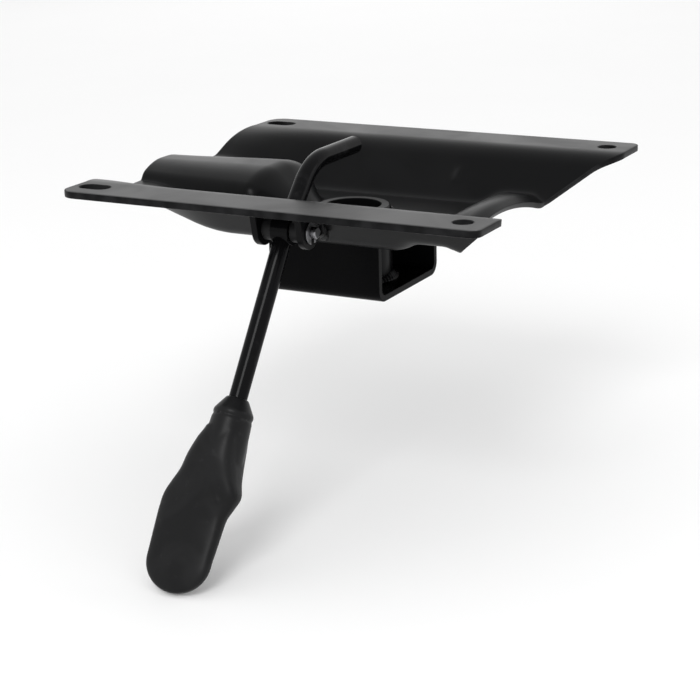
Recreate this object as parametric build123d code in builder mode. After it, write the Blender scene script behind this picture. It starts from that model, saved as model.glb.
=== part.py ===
from build123d import *
import os
from math import asin, atan2, copysign, cos, degrees, hypot, radians, sin, tan

# Seat swivel plate: a pressed steel plate that bolts under a chair seat, with a welded box bracket
# and taper socket that drop over a gas lift, and a hanging lever that works the lift's button.
# Millimetres. X runs along the flanges (front +X), the lever hangs on the -Y side, Z is up.
# The origin is the centre of the socket's lower mouth, level with the underside of the bracket.

# Seat plate: depths are measured down from the seat face
SHEET = 3.0
SEAT_HEIGHT = 55.0
PLATE_FRONT = 104.5
PLATE_REAR = 95.5
PLATE_HALF_WIDTH = 95.0
REAR_CORNER = 8.0
FRONT_CORNER = 4.5
REAR_BOW = 7.5
FLANGE_WIDTH = 21.0
FLANGE_BEND = 20.0
REAR_FLANGE_BEND = 50.0
FLOOR_BEND = 8.0
FLOOR_DEPTH = 23.0
FLOOR_HALF = 40.0
REAR_DEPTH = 10.5
RAMP_FOOT_X = -48.0
RAMP_TOP_X = -86.0
RAMP_EASE = 5.0

# Front edge: cut back in plan between the flanges
NOTCH_FRONT_HALF = 68.0
NOTCH_FRONT_ROUND = 10.0
NOTCH_BACK_HALF = 46.0
FLOOR_FRONT = 76.0
FRONT_DRAW = 2.0

# Rear hump pressed up through the channel floor, wider in front than at the rear
HUMP_TOP = 0.7
HUMP_REAR_FLAT = 4.0
HUMP_REAR_HALF = 20.0
HUMP_FRONT_FLAT = 8.5
HUMP_FRONT_HALF = 27.0
HUMP_FLANK_ANGLE = 74.0
HUMP_CROWN_ANGLE = 20.0
HUMP_SHOULDER_RADIUS = 7.0

# Sloping nose of the hump, drawn in to a narrow toe
NOSE_X = -38.0
NOSE_ANGLE = 50.0
NOSE_ROUND = 9.0
TOE_FLAT = 1.5
TOE_HALF = 7.5
TOE_FLANK_ANGLE = 46.0
TOE_SHOULDER_RADIUS = 5.0

# Low ridge pressed across the front of the channel
RIDGE_DEPTH = 11.5
RIDGE_HALF = 62.0
RIDGE_REAR_X = 46.0
RIDGE_CREST_X = 62.0
RIDGE_CREST_LENGTH = 5.5
RIDGE_FRONT_ANGLE = 31.0
RIDGE_ROUND = 8.0
RIDGE_ROUND_STEPS = 4

# Holes in the flanges
HOLE_FROM_EDGE = 13.0
BOLT_HOLE_FROM_FRONT = 12.0
BOLT_HOLE_DIA = 8.5
SLOT_FROM_REAR = 11.0
SLOT_WIDTH = 8.5
SLOT_LENGTH = 15.0

# Box bracket under the channel
BRACKET_HALF_LENGTH = 28.0
BRACKET_HALF_WIDTH = 30.0
BRACKET_SHEET = 3.0
BRACKET_BEND = 6.0

# Taper socket for the gas lift's cone
TAPER_MOUTH_DIA = 27.8
TAPER_HALF_ANGLE = 1.4378
SOCKET_WALL = 3.6
SOCKET_STAND = 5.0
SOCKET_CHAMFER = 1.0
SOCKET_FIT = 0.05

# Lever rod: its path lies in the plane X = 0 down to the pivot, then leans a little to the rear
ROD_DIA = 8.0
ROD_TIP_Y = 2.0
ROD_TIP_RISE = 9.2
ROD_KNEE_FROM_PIVOT = 24.3
ROD_KNEE_RADIUS = 26.0
ROD_KINK_RADIUS = 24.0
ROD_HANG_ANGLE = 57.3
ROD_LEAN_ANGLE = 1.6
ROD_HANG_LENGTH = 112.0

# Lever pivot
PIVOT_FROM_EDGE = 32.5
PIVOT_DEPTH = 16.0
EYE_DIA = 12.6
EYE_HALF_WIDTH = 4.2
PIN_DIA = 5.0
RUNNING_FIT = 0.06
SIDE_PLAY = 0.15
PIN_HEAD_DIA = 9.0
PIN_HEAD_HEIGHT = 2.0
PIN_TAIL = 3.4
LUG_THICKNESS = 3.0
LUG_ROUND = 7.5
LUG_TOP_HALF = 11.0
SPACER_DIA = 10.0
SPACER_LENGTH = 5.0
CLIP_THICKNESS = 0.8
CLIP_DIA = 10.4
CLIP_NECK_DIA = 3.8
CLIP_MOUTH = 3.0
CLIP_ROOM = 0.4

# Window in the near wall that the rod swings through
WINDOW_WIDTH = 16.0
WINDOW_OUTSIDE_PIVOT = 1.5
WINDOW_INSIDE_PIVOT = 17.0
WINDOW_CORNER = 3.0

# Plastic grip on the rod: lengths run down the rod from the pivot
GRIP_START = 76.0
COLLAR_AT = 82.5
COLLAR_MOUTH_DIA = 9.6
COLLAR_DIA = 17.4
SLEEVE_END = 103.5
SLEEVE_END_DIA = 19.6
GRIP_FIT = 0.05
NECK_AT = 96.0
NECK_WIDTH = 16.6
NECK_THICKNESS = 16.6
SHOULDER_AT = 123.0
SHOULDER_WIDTH = 33.6
SHOULDER_THICKNESS = 10.0
SHOULDER_SET = -5.0
END_AT = 148.0
END_WIDTH = 29.0
END_THICKNESS = 7.5
END_SET = -7.0
TIP_AT = 161.5
TIP_THICKNESS = 5.0
OVAL_POWER = 0.62
OVAL_CORNERS = 20
PADDLE_STEPS = 5
LAST_END_ANGLE = 78.0

# Weld beads
WELD_LEG = 3.2

# How far cutting solids run past what they cut
OVERRUN = 6.0

# Derived places
flange_inner = PLATE_HALF_WIDTH - FLANGE_WIDTH
hole_row = PLATE_HALF_WIDTH - HOLE_FROM_EDGE
pivot_y = PIVOT_FROM_EDGE - PLATE_HALF_WIDTH
knee_y = pivot_y + ROD_KNEE_FROM_PIVOT
floor_top = SEAT_HEIGHT - FLOOR_DEPTH
floor_under = floor_top - SHEET
pivot_z = SEAT_HEIGHT - PIVOT_DEPTH
lug_inner = EYE_HALF_WIDTH + SPACER_LENGTH + 2 * SIDE_PLAY
lug_outer = lug_inner + LUG_THICKNESS
socket_radius = TAPER_MOUTH_DIA / 2 + SOCKET_WALL
socket_top = floor_top + SOCKET_STAND
pin_hole_radius = PIN_DIA / 2 + RUNNING_FIT
pivot = Vector(0, pivot_y, pivot_z)
hang = Vector(
    -sin(radians(ROD_LEAN_ANGLE)),
    -cos(radians(ROD_LEAN_ANGLE)) * cos(radians(ROD_HANG_ANGLE)),
    -cos(radians(ROD_LEAN_ANGLE)) * sin(radians(ROD_HANG_ANGLE)),
)
grip_face = Vector(0, -sin(radians(ROD_HANG_ANGLE)), cos(radians(ROD_HANG_ANGLE)))
grip_across = grip_face.cross(hang)


# Channel: its cross-section at a station is set by the floor's depth and the flange bend's radius
def channel_stations():
    """Places along X with the floor's depth and the flange bend, easing in and out of the ramp."""
    slope = (FLOOR_DEPTH - REAR_DEPTH) / (RAMP_FOOT_X - RAMP_TOP_X)
    tightening = (REAR_FLANGE_BEND - FLANGE_BEND) / (RAMP_FOOT_X - RAMP_TOP_X)
    rise = slope * RAMP_EASE / 2
    widening = tightening * RAMP_EASE / 2
    return [
        (-PLATE_REAR, REAR_DEPTH, REAR_FLANGE_BEND),
        (RAMP_TOP_X - RAMP_EASE, REAR_DEPTH, REAR_FLANGE_BEND),
        (RAMP_TOP_X + RAMP_EASE, REAR_DEPTH + rise, REAR_FLANGE_BEND - widening),
        (RAMP_FOOT_X - RAMP_EASE, FLOOR_DEPTH - rise, FLANGE_BEND + widening),
        (RAMP_FOOT_X + RAMP_EASE, FLOOR_DEPTH, FLANGE_BEND),
        (PLATE_FRONT, FLOOR_DEPTH, FLANGE_BEND),
    ]


def wall_angle(depth, bend):
    """Slope in degrees of the straight wall that is tangent to both bends."""
    across = flange_inner - FLOOR_HALF
    rise = depth - bend - FLOOR_BEND
    return degrees(atan2(rise, across) + asin((bend + FLOOR_BEND) / hypot(across, rise)))


def channel_section(x, depth, bend, growth, overrun):
    """Cross-section of the space over the sheet; growth moves its skin down through the sheet."""
    angle = wall_angle(depth, bend)
    floor = SEAT_HEIGHT - depth
    edge = PLATE_HALF_WIDTH + overrun
    top = SEAT_HEIGHT + SHEET + overrun
    with BuildSketch(Plane.YZ.offset(x)) as section:
        with BuildLine():
            Line((0, floor - growth), (FLOOR_HALF, floor - growth))
            low = CenterArc((FLOOR_HALF, floor + FLOOR_BEND), FLOOR_BEND + growth, -90, angle)
            high = CenterArc((flange_inner, SEAT_HEIGHT - bend), bend - growth, 90 + angle, -angle)
            Line(low @ 1, high @ 0)
            Polyline(high @ 1, (edge, SEAT_HEIGHT - growth), (edge, top), (0, top), (0, floor - growth))
        make_face()
        mirror(about=Plane.YZ)
    return section.sketch


def channel_space(growth, overrun=0):
    """Space over the pressed channel, lofted through its stations."""
    stations = channel_stations()
    stations[0] = (stations[0][0] - REAR_BOW - overrun, *stations[0][1:])
    stations[-1] = (stations[-1][0] + overrun, *stations[-1][1:])
    return loft([channel_section(*station, growth, overrun) for station in stations], ruled=True)


# Hump: crowned cross-sections, each set by its place between the rear and the nose, or the nose and the toe
def blend(start, end, share):
    """Value that lies the given share of the way from start to end."""
    return start + (end - start) * share


def hump_section(x, depth, flat, half, flank_angle, shoulder, growth):
    """Cross-section of the hump: a flat strip, a crown, a shoulder and a straight flank on each side."""
    roof = SEAT_HEIGHT - depth + growth
    base = floor_under - 2 * OVERRUN
    crown_angle = radians(HUMP_CROWN_ANGLE)
    inward = (half - flat - shoulder * sin(radians(flank_angle))) / sin(crown_angle)
    crown_centre = Vector(flat, SEAT_HEIGHT - depth - inward - shoulder)
    shoulder_centre = crown_centre + Vector(sin(crown_angle), cos(crown_angle)) * inward
    sweep_angle = flank_angle - HUMP_CROWN_ANGLE
    with BuildSketch(Plane.YZ.offset(x)) as section:
        with BuildLine():
            Line((0, roof), (flat, roof))
            CenterArc(crown_centre, inward + shoulder + growth, 90, -HUMP_CROWN_ANGLE)
            side = CenterArc(shoulder_centre, shoulder + growth, 90 - HUMP_CROWN_ANGLE, -sweep_angle)
            foot_y = (side @ 1).X + ((side @ 1).Y - base) / tan(radians(flank_angle))
            Polyline(side @ 1, (foot_y, base), (0, base), (0, roof))
        make_face()
        mirror(about=Plane.YZ)
    return section.sketch


def nose_section(x, depth, growth):
    """Cross-section of the nose, drawn in by the share of the way down to the toe."""
    share = (depth - HUMP_TOP) / (FLOOR_DEPTH + SHEET - HUMP_TOP)
    return hump_section(
        x,
        depth,
        blend(HUMP_FRONT_FLAT, TOE_FLAT, share),
        blend(HUMP_FRONT_HALF, TOE_HALF, share),
        blend(HUMP_FLANK_ANGLE, TOE_FLANK_ANGLE, share),
        blend(HUMP_SHOULDER_RADIUS, TOE_SHOULDER_RADIUS, share),
        growth,
    )


def hump(growth):
    """Solid under the hump's skin; growth moves the skin outwards."""
    turn = radians(NOSE_ANGLE)
    bend_reach = NOSE_ROUND * tan(turn / 2)
    lead = growth * tan(turn / 2)
    toe_depth = FLOOR_DEPTH + SHEET
    toe_x = NOSE_X + (toe_depth - HUMP_TOP) / tan(turn)
    rear_x = -PLATE_REAR - REAR_BOW
    front_x = NOSE_X - bend_reach
    sections = []
    for x in (rear_x - 2 * OVERRUN, front_x):
        share = (x - rear_x) / (front_x - rear_x)
        flat = blend(HUMP_REAR_FLAT, HUMP_FRONT_FLAT, share)
        half = blend(HUMP_REAR_HALF, HUMP_FRONT_HALF, share)
        sections.append(
            hump_section(x + lead, HUMP_TOP, flat, half, HUMP_FLANK_ANGLE, HUMP_SHOULDER_RADIUS, growth)
        )
    for angle in (turn / 2, turn):
        x = front_x + NOSE_ROUND * sin(angle)
        depth = HUMP_TOP + NOSE_ROUND * (1 - cos(angle))
        sections.append(nose_section(x + lead, depth, growth))
    sections.append(nose_section(toe_x + lead, toe_depth, growth))
    return loft(sections, ruled=True)


# Ridge: a low arch across the channel that climbs from the rear and falls away round a bend in front
def ridge(growth):
    """Solid under the ridge's skin; growth moves the skin outwards."""
    crest = SEAT_HEIGHT - RIDGE_DEPTH
    bend_x = RIDGE_CREST_X + RIDGE_CREST_LENGTH
    front_x = PLATE_FRONT + OVERRUN
    sag = FLOOR_DEPTH - RIDGE_DEPTH
    arch_radius = (RIDGE_HALF**2 + sag**2) / (2 * sag)
    rear_turn = atan2(sag, RIDGE_CREST_X - RIDGE_REAR_X)
    rear_lead = growth * tan(rear_turn / 2)
    rear_foot = (RIDGE_REAR_X - OVERRUN - rear_lead, floor_top + growth - OVERRUN * tan(rear_turn))
    with BuildPart() as body:
        with BuildSketch(Plane.XZ):
            with BuildLine():
                FilletPolyline(
                    rear_foot,
                    (RIDGE_CREST_X - rear_lead, crest + growth),
                    (front_x, crest + growth),
                    radius=RIDGE_ROUND + growth,
                )
                Polyline((front_x, crest + growth), (front_x, 0), (rear_foot[0], 0), rear_foot)
            make_face()
        extrude(amount=PLATE_HALF_WIDTH, both=True)
        for step in range(RIDGE_ROUND_STEPS + 1):
            tilt = radians(RIDGE_FRONT_ANGLE * step / RIDGE_ROUND_STEPS)
            top = (bend_x + RIDGE_ROUND * sin(tilt), 0, crest - RIDGE_ROUND * (1 - cos(tilt)))
            with BuildSketch(Plane(origin=top, x_dir=(0, 1, 0), z_dir=(cos(tilt), 0, -sin(tilt)))):
                with Locations((0, -arch_radius)):
                    Circle(arch_radius + growth)
            extrude(amount=PLATE_FRONT, both=True, mode=Mode.INTERSECT)
    return body.part


# Seat plate
space_above = channel_space(0, 2 * OVERRUN) - hump(0) - ridge(0)
space_to_underside = channel_space(SHEET, OVERRUN) - hump(-SHEET) - ridge(-SHEET)

with BuildPart() as seat_plate:
    add(space_to_underside)
    add(space_above, mode=Mode.SUBTRACT)
    with BuildSketch(Plane.XY.offset(floor_under - OVERRUN)):
        with BuildLine():
            FilletPolyline(
                (-PLATE_REAR, flange_inner),
                (-PLATE_REAR, PLATE_HALF_WIDTH),
                (PLATE_FRONT, PLATE_HALF_WIDTH),
                (PLATE_FRONT, NOTCH_FRONT_HALF),
                (FLOOR_FRONT, NOTCH_BACK_HALF),
                radius=(REAR_CORNER, FRONT_CORNER, NOTCH_FRONT_ROUND),
            )
            mirror(about=Plane.XZ)
            ThreePointArc(
                (FLOOR_FRONT, -NOTCH_BACK_HALF),
                (FLOOR_FRONT - FRONT_DRAW, 0),
                (FLOOR_FRONT, NOTCH_BACK_HALF),
            )
            ThreePointArc(
                (-PLATE_REAR, -flange_inner), (-PLATE_REAR - REAR_BOW, 0), (-PLATE_REAR, flange_inner)
            )
        make_face()
    extrude(amount=SEAT_HEIGHT, mode=Mode.INTERSECT)
    with BuildSketch(Plane.XY.offset(SEAT_HEIGHT)):
        for side in (-1, 1):
            with Locations((PLATE_FRONT - BOLT_HOLE_FROM_FRONT, side * hole_row)):
                Circle(BOLT_HOLE_DIA / 2)
            with Locations((SLOT_FROM_REAR - PLATE_REAR, side * hole_row)):
                SlotOverall(SLOT_LENGTH, SLOT_WIDTH)
        with Locations((0, pivot_y + (WINDOW_INSIDE_PIVOT - WINDOW_OUTSIDE_PIVOT) / 2)):
            RectangleRounded(WINDOW_WIDTH, WINDOW_INSIDE_PIVOT + WINDOW_OUTSIDE_PIVOT, WINDOW_CORNER)
        Circle(socket_radius + SOCKET_FIT)
    extrude(amount=-SEAT_HEIGHT, mode=Mode.SUBTRACT)
seat_plate.part.label = "seat_plate"


# Box bracket: sheet folded to a channel, welded up against the floor
with BuildPart() as box_bracket:
    with BuildSketch(Plane.YZ.offset(-BRACKET_HALF_LENGTH)):
        with BuildLine():
            FilletPolyline(
                (-BRACKET_HALF_WIDTH, floor_under),
                (-BRACKET_HALF_WIDTH, 0),
                (BRACKET_HALF_WIDTH, 0),
                (BRACKET_HALF_WIDTH, floor_under),
                radius=BRACKET_BEND,
            )
            Line((BRACKET_HALF_WIDTH, floor_under), (BRACKET_HALF_WIDTH - BRACKET_SHEET, floor_under))
            FilletPolyline(
                (BRACKET_HALF_WIDTH - BRACKET_SHEET, floor_under),
                (BRACKET_HALF_WIDTH - BRACKET_SHEET, BRACKET_SHEET),
                (-BRACKET_HALF_WIDTH + BRACKET_SHEET, BRACKET_SHEET),
                (-BRACKET_HALF_WIDTH + BRACKET_SHEET, floor_under),
                radius=BRACKET_BEND - BRACKET_SHEET,
            )
            Line((-BRACKET_HALF_WIDTH + BRACKET_SHEET, floor_under), (-BRACKET_HALF_WIDTH, floor_under))
        make_face()
    extrude(amount=2 * BRACKET_HALF_LENGTH)
    Hole(socket_radius + SOCKET_FIT)
box_bracket.part.label = "box_bracket"


# Taper socket: a turned tube with the lift's taper bored through it
with BuildPart() as taper_socket:
    with BuildSketch(Plane.XZ):
        mouth_radius = TAPER_MOUTH_DIA / 2
        top_radius = mouth_radius - socket_top * tan(radians(TAPER_HALF_ANGLE))
        with BuildLine():
            Polyline(
                (mouth_radius, 0),
                (socket_radius, 0),
                (socket_radius, socket_top - SOCKET_CHAMFER),
                (socket_radius - SOCKET_CHAMFER, socket_top),
                (top_radius, socket_top),
                close=True,
            )
        make_face()
    revolve(axis=Axis.Z)
taper_socket.part.label = "taper_socket"


# Weld beads round the socket: one on the channel floor, one inside the bracket
def ring_bead(height):
    """Bead with a sloping face, standing on a sheet at the given height round the socket."""
    with BuildPart() as bead:
        with BuildSketch(Plane.XZ):
            with BuildLine():
                Polyline(
                    (socket_radius, height),
                    (socket_radius + WELD_LEG, height),
                    (socket_radius, height + WELD_LEG),
                    close=True,
                )
            make_face()
        revolve(axis=Axis.Z)
    return bead.part


with BuildPart() as socket_welds:
    add(ring_bead(floor_top))
    add(seat_plate.part, mode=Mode.SUBTRACT)
    add(ring_bead(BRACKET_SHEET))
socket_welds.part.label = "socket_welds"


# Weld beads along the top edges of the box bracket
with BuildPart() as bracket_welds:
    with BuildSketch(Plane.YZ.offset(-BRACKET_HALF_LENGTH)):
        for side in (-1, 1):
            with BuildLine():
                Polyline(
                    (side * BRACKET_HALF_WIDTH, floor_under),
                    (side * (BRACKET_HALF_WIDTH + WELD_LEG), floor_under),
                    (side * BRACKET_HALF_WIDTH, floor_under - WELD_LEG),
                    close=True,
                )
            make_face()
    extrude(amount=2 * BRACKET_HALF_LENGTH)
bracket_welds.part.label = "bracket_welds"


# Pivot lugs: a pair of plates whose upper edges follow the underside of the sheet
under_sheet = channel_space(SHEET)
weld_layer = channel_space(SHEET + WELD_LEG) - under_sheet

with BuildPart() as pivot_lugs:
    with BuildSketch(Plane.YZ.offset(lug_inner)):
        with BuildLine():
            CenterArc((pivot_y, pivot_z), LUG_ROUND, 0, 360)
            Line((pivot_y - LUG_TOP_HALF, SEAT_HEIGHT), (pivot_y + LUG_TOP_HALF, SEAT_HEIGHT))
        make_hull()
        with Locations((pivot_y, pivot_z)):
            Circle(pin_hole_radius, mode=Mode.SUBTRACT)
    extrude(amount=LUG_THICKNESS)
    mirror(about=Plane.YZ)
    add(under_sheet, mode=Mode.SUBTRACT)
pivot_lugs.part.label = "pivot_lugs"


# Weld beads outside the lugs, along the sheet, stopping short of the pin's head and clip
with BuildPart() as lug_welds:
    with BuildSketch():
        with Locations((lug_outer + WELD_LEG / 2, pivot_y)):
            Rectangle(WELD_LEG, 2 * LUG_TOP_HALF - WELD_LEG)
    extrude(amount=SEAT_HEIGHT)
    add(weld_layer, mode=Mode.INTERSECT)
    with BuildSketch(Plane.YZ.offset(lug_outer)):
        with Locations((pivot_y, pivot_z)):
            Circle(CLIP_DIA / 2 + CLIP_ROOM)
    extrude(amount=WELD_LEG, mode=Mode.SUBTRACT)
    mirror(about=Plane.YZ)
lug_welds.part.label = "lug_welds"


# Pivot pin: headed at the rear, necked for the clip in front
with BuildPart() as pivot_pin:
    with BuildSketch(Plane.XY.offset(pivot_z)):
        clip_x = lug_outer + SIDE_PLAY
        tail_x = lug_outer + PIN_TAIL
        with BuildLine():
            Polyline(
                (-lug_outer - PIN_HEAD_HEIGHT, pivot_y),
                (-lug_outer - PIN_HEAD_HEIGHT, pivot_y + PIN_HEAD_DIA / 2),
                (-lug_outer, pivot_y + PIN_HEAD_DIA / 2),
                (-lug_outer, pivot_y + PIN_DIA / 2),
                (clip_x, pivot_y + PIN_DIA / 2),
                (clip_x, pivot_y + CLIP_NECK_DIA / 2),
                (clip_x + CLIP_THICKNESS, pivot_y + CLIP_NECK_DIA / 2),
                (clip_x + CLIP_THICKNESS, pivot_y + PIN_DIA / 2),
                (tail_x, pivot_y + PIN_DIA / 2),
                (tail_x, pivot_y),
                close=True,
            )
        make_face()
    revolve(axis=Axis((0, pivot_y, pivot_z), (1, 0, 0)))
pivot_pin.part.label = "pivot_pin"


# Spring clip on the pin's neck
with BuildPart() as pivot_clip:
    with BuildSketch(Plane.YZ.offset(clip_x)):
        with Locations((pivot_y, pivot_z)):
            Circle(CLIP_DIA / 2)
            Circle(CLIP_NECK_DIA / 2, mode=Mode.SUBTRACT)
            with Locations((0, -CLIP_DIA / 2)):
                Rectangle(CLIP_MOUTH, CLIP_DIA, mode=Mode.SUBTRACT)
    extrude(amount=CLIP_THICKNESS)
pivot_clip.part.label = "pivot_clip"


# Spacers that keep the rod's eye central between the lugs
with BuildPart() as pivot_spacers:
    with BuildSketch(Plane.YZ.offset(EYE_HALF_WIDTH + SIDE_PLAY)):
        with Locations((pivot_y, pivot_z)):
            Circle(SPACER_DIA / 2)
            Circle(pin_hole_radius, mode=Mode.SUBTRACT)
    extrude(amount=SPACER_LENGTH)
    mirror(about=Plane.YZ)
pivot_spacers.part.label = "pivot_spacers"


# Lever rod: bent from round bar, with an eye for the pin
with BuildPart() as lever_rod:
    with BuildLine() as rod_path:
        FilletPolyline(
            (0, ROD_TIP_Y, SEAT_HEIGHT + ROD_TIP_RISE),
            (0, knee_y, SEAT_HEIGHT + ROD_TIP_RISE),
            pivot,
            pivot + hang * ROD_HANG_LENGTH,
            radius=(ROD_KNEE_RADIUS, ROD_KINK_RADIUS),
        )
    with BuildSketch(Plane(origin=rod_path.line @ 0, z_dir=rod_path.line % 0)):
        Circle(ROD_DIA / 2)
    sweep()
    with BuildSketch(Plane.YZ.offset(-EYE_HALF_WIDTH)):
        with Locations((pivot_y, pivot_z)):
            Circle(EYE_DIA / 2)
    extrude(amount=2 * EYE_HALF_WIDTH)
    with BuildSketch(Plane.YZ.offset(-EYE_HALF_WIDTH)):
        with Locations((pivot_y, pivot_z)):
            Circle(pin_hole_radius)
    extrude(amount=2 * EYE_HALF_WIDTH, mode=Mode.SUBTRACT)
lever_rod.part.label = "lever_rod"


# Lever grip: a collared sleeve that flattens into a paddle
def grip_plane(distance):
    """Plane square to the rod at a distance down from the pivot, its X towards the front."""
    return Plane(origin=pivot + hang * distance, x_dir=grip_across, z_dir=hang)


def paddle_section(distance, width, thickness, set_over):
    """Flattened oval cross-section of the paddle, with flat facets round it."""
    corners = []
    for index in range(OVAL_CORNERS):
        across = cos(radians(360 * index / OVAL_CORNERS))
        along = sin(radians(360 * index / OVAL_CORNERS))
        corners.append(
            (
                set_over + copysign(abs(across) ** OVAL_POWER, across) * width / 2,
                copysign(abs(along) ** OVAL_POWER, along) * thickness / 2,
            )
        )
    with BuildSketch(grip_plane(distance)) as section:
        Polygon(*corners, align=None)
    return section.sketch


def eased_sections(start, finish):
    """Sections from one widest place towards the next, easing out of the first and into the next."""
    sections = []
    for step in range(PADDLE_STEPS):
        share = step / PADDLE_STEPS
        eased = share * share * (3 - 2 * share)
        sizes = [blend(low, high, eased) for low, high in zip(start[1:], finish[1:])]
        sections.append(paddle_section(blend(start[0], finish[0], share), *sizes))
    return sections


def end_section(angle):
    """Section at an angle round the paddle's half-oval end, in degrees from its widest place."""
    share = sin(radians(angle))
    return paddle_section(
        blend(END_AT, TIP_AT, share),
        END_WIDTH * cos(radians(angle)),
        blend(END_THICKNESS, TIP_THICKNESS, share),
        END_SET,
    )


neck = (NECK_AT, NECK_WIDTH, NECK_THICKNESS, 0)
shoulder = (SHOULDER_AT, SHOULDER_WIDTH, SHOULDER_THICKNESS, SHOULDER_SET)
end = (END_AT, END_WIDTH, END_THICKNESS, END_SET)
end_angles = [LAST_END_ANGLE * step / PADDLE_STEPS for step in range(PADDLE_STEPS + 1)]
paddle = loft(
    [
        *eased_sections(neck, shoulder),
        *eased_sections(shoulder, end),
        *[end_section(angle) for angle in end_angles],
    ],
    ruled=True,
)

with BuildPart() as lever_grip:
    with BuildSketch(Plane(origin=pivot, x_dir=grip_across, z_dir=grip_face)):
        with BuildLine():
            Polyline(
                (0, -GRIP_START),
                (COLLAR_MOUTH_DIA / 2, -GRIP_START),
                (COLLAR_DIA / 2, -COLLAR_AT),
                (SLEEVE_END_DIA / 2, -SLEEVE_END),
                (0, -SLEEVE_END),
                close=True,
            )
        make_face()
    revolve(axis=Axis(pivot, hang))
    add(paddle)
    with BuildSketch(grip_plane(GRIP_START)):
        Circle(ROD_DIA / 2 + GRIP_FIT)
    extrude(amount=ROD_HANG_LENGTH - GRIP_START, mode=Mode.SUBTRACT)
lever_grip.part.label = "lever_grip"


os.makedirs("parts", exist_ok=True)
for piece in (
    seat_plate,
    box_bracket,
    taper_socket,
    socket_welds,
    bracket_welds,
    pivot_lugs,
    lug_welds,
    pivot_pin,
    pivot_clip,
    pivot_spacers,
    lever_rod,
    lever_grip,
):
    export_step(piece.part, f"parts/{piece.part.label}.step")
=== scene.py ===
"""Looks of a pressed seat plate with its box bracket, taper socket and height lever."""

import logging
from dataclasses import dataclass, field
from enum import Enum
from math import asin, atan2, ceil, copysign, cos, exp, hypot, pi, radians, sin, sqrt, tan
from typing import Optional, Protocol, Sequence, Union

import bmesh
import bpy
from mathutils import Matrix, Vector


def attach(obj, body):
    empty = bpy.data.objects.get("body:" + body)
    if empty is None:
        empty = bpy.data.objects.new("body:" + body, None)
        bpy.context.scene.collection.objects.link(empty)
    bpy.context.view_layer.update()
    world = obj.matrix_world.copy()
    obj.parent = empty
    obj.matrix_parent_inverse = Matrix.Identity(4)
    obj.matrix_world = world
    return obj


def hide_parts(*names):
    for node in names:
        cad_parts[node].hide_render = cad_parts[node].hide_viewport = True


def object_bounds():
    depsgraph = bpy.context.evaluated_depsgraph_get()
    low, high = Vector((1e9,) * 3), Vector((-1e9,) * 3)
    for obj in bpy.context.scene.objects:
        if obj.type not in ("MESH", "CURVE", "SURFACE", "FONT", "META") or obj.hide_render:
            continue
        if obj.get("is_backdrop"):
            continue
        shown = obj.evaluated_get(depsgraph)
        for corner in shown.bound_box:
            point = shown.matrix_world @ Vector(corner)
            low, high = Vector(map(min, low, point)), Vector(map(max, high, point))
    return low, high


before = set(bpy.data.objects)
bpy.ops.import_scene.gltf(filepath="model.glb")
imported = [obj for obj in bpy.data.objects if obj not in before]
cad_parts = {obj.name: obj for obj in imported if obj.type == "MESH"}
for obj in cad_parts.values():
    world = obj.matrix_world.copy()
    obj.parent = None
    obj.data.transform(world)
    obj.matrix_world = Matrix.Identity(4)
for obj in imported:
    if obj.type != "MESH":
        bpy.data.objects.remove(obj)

LOG = logging.getLogger("seat_plate")
EDGE_LAYER = "edge_wear"
MILLIMETRE = 0.001
TINY = 1e-6
CREASE = 40.0
MOULDED_CREASE = 60.0
WORN_ANGLE = 19.0
MERGE_WITHIN = 0.002 * MILLIMETRE
LEVEL_WITHIN = radians(0.4)
MIX_SHARE = 0
MIX_FIRST = 6
MIX_SECOND = 7
MIXED_COLOUR = 2

Colour = tuple[float, float, float]
Feed = Union["Wire", float, int, Sequence[float]]


class Body(Enum):
    """Bodies of the frame that pieces ride on."""

    FRAME = "frame"
    LEVER = "lever"


class Slot(Enum):
    """Material slots of the record."""

    PLATE = "plate_paint"
    WELD = "weld_bead"
    ROD = "rod_paint"
    STEEL = "bright_steel"
    SPACER = "spacer_plastic"
    GRIP = "grip_plastic"


class Wire:
    """A node's output that takes part in Python arithmetic, each operator adding one Math node."""

    def __init__(self, recipe: "Recipe", socket: Optional[bpy.types.NodeSocket]) -> None:
        """Keeps the recipe that adds nodes, and the output, which a last node lacks."""
        self.recipe = recipe
        self.socket = socket

    def _maths(self, operation: str, *values: Feed) -> "Wire":
        """Adds one Math node."""
        return self.recipe.node("ShaderNodeMath", {"operation": operation}, dict(enumerate(values)))

    def __add__(self, other: Feed) -> "Wire":
        """Sum."""
        return self._maths("ADD", self, other)

    __radd__ = __add__

    def __sub__(self, other: Feed) -> "Wire":
        """Difference."""
        return self._maths("SUBTRACT", self, other)

    def __rsub__(self, other: Feed) -> "Wire":
        """Difference with this output taken away."""
        return self._maths("SUBTRACT", other, self)

    def __mul__(self, other: Feed) -> "Wire":
        """Product."""
        return self._maths("MULTIPLY", self, other)

    __rmul__ = __mul__

    def greater(self, other: Feed) -> "Wire":
        """Greater of the two values."""
        return self._maths("MAXIMUM", self, other)

    def ramp(self, low: float, high: float) -> "Wire":
        """Runs smoothly from 0 at low to 1 at high."""
        feeds = {"Value": self, "From Min": low, "From Max": high}
        return self.recipe.node("ShaderNodeMapRange", {"interpolation_type": "SMOOTHSTEP"}, feeds)

    def beside(self, name: str) -> "Wire":
        """Another output of the same node."""
        return Wire(self.recipe, self.socket.node.outputs[name])


@dataclass(frozen=True)
class Pattern:
    """A noise: blotch size in metres, finer layers, pull, and the range spread from 0 to 1."""

    grain: float
    detail: float = 2.0
    distortion: float = 0.0
    spread: Optional[tuple[float, float]] = None


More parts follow.
